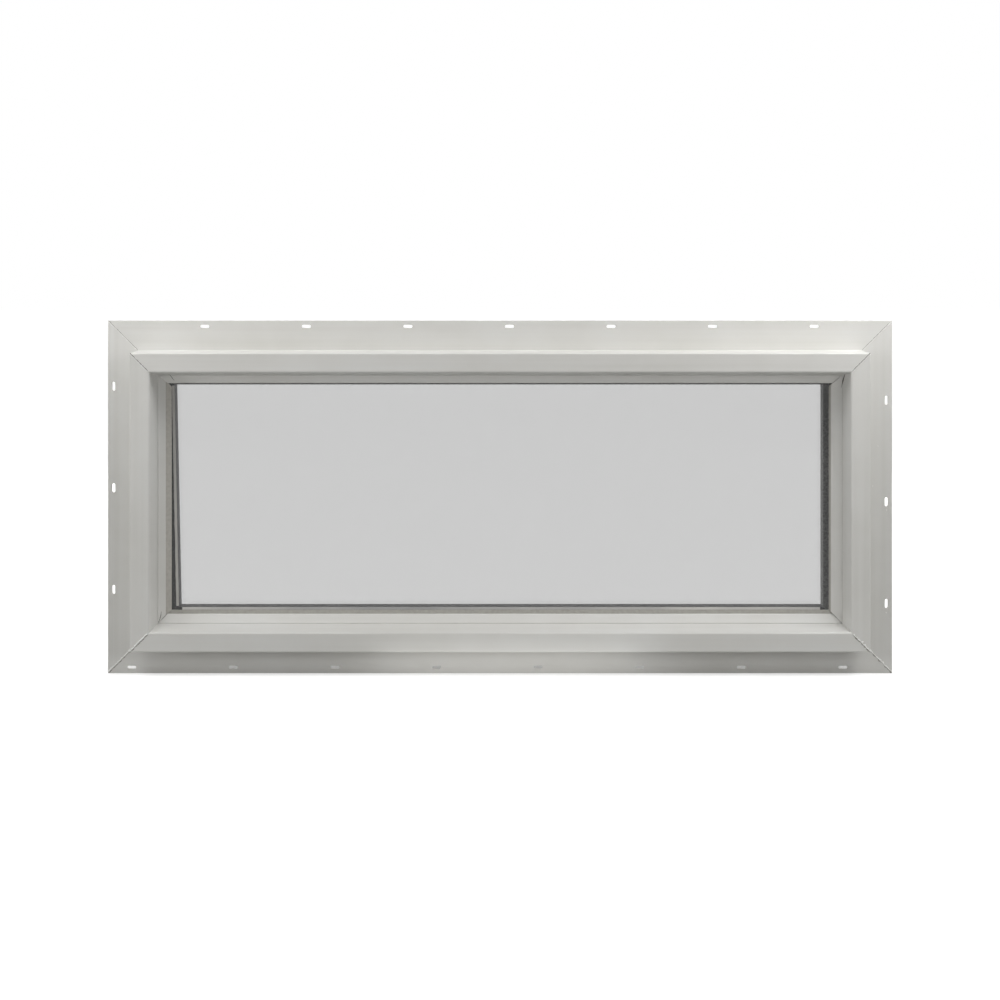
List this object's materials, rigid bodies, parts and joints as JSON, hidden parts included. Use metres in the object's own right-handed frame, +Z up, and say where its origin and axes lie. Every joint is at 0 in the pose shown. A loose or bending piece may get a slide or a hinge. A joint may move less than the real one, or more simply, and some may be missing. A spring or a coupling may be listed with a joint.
{
  "type": "fixed transom window, new-construction type with nail fin",
  "caption": "Fixed white PVC transom window with welded mitred corners, an all-round nailing fin with slots, snap-in glazing beads and a sealed double-glazed unit.",
  "frame": {"origin": "back face of the bottom nailing fin, at mid width of the window and half way up the fin", "axes": "+X to the right seen from outdoors, +Y indoors, square to the fin, +Z up"},
  "size_m": [0.7844, 0.083, 0.3525],
  "materials": {
    "pvc_white": "satin extruded rigid PVC",
    "gasket_grey": "soft co-extruded PVC lip",
    "tape_white": "closed-cell foam tape",
    "glass_clear": "clear float glass",
    "spacer_grey": "dark structural foam spacer",
    "sealant_black": "black edge sealant",
    "block_black": "hard rubber"
  },
  "bodies": {
    "root": {"frame_head": "pvc_white", "frame_sill": "pvc_white", "frame_jamb_left": "pvc_white", "frame_jamb_right": "pvc_white", "glazing_bead_head": "pvc_white", "glazing_bead_sill": "pvc_white", "glazing_bead_left": "pvc_white", "glazing_bead_right": "pvc_white", "bead_gasket_head": "gasket_grey", "bead_gasket_sill": "gasket_grey", "bead_gasket_left": "gasket_grey", "bead_gasket_right": "gasket_grey", "glazing_tape_head": "tape_white", "glazing_tape_sill": "tape_white", "glazing_tape_left": "tape_white", "glazing_tape_right": "tape_white", "outer_glass": "glass_clear", "inner_glass": "glass_clear", "spacer_top": "spacer_grey", "spacer_bottom": "spacer_grey", "spacer_left": "spacer_grey", "spacer_right": "spacer_grey", "edge_sealant_top": "sealant_black", "edge_sealant_bottom": "sealant_black", "edge_sealant_left": "sealant_black", "edge_sealant_right": "sealant_black", "setting_block_left": "block_black", "setting_block_right": "block_black", "corner_weld_top_left": "pvc_white", "corner_weld_top_right": "pvc_white", "corner_weld_bottom_left": "pvc_white", "corner_weld_bottom_right": "pvc_white"}
  },
  "joints": []
}
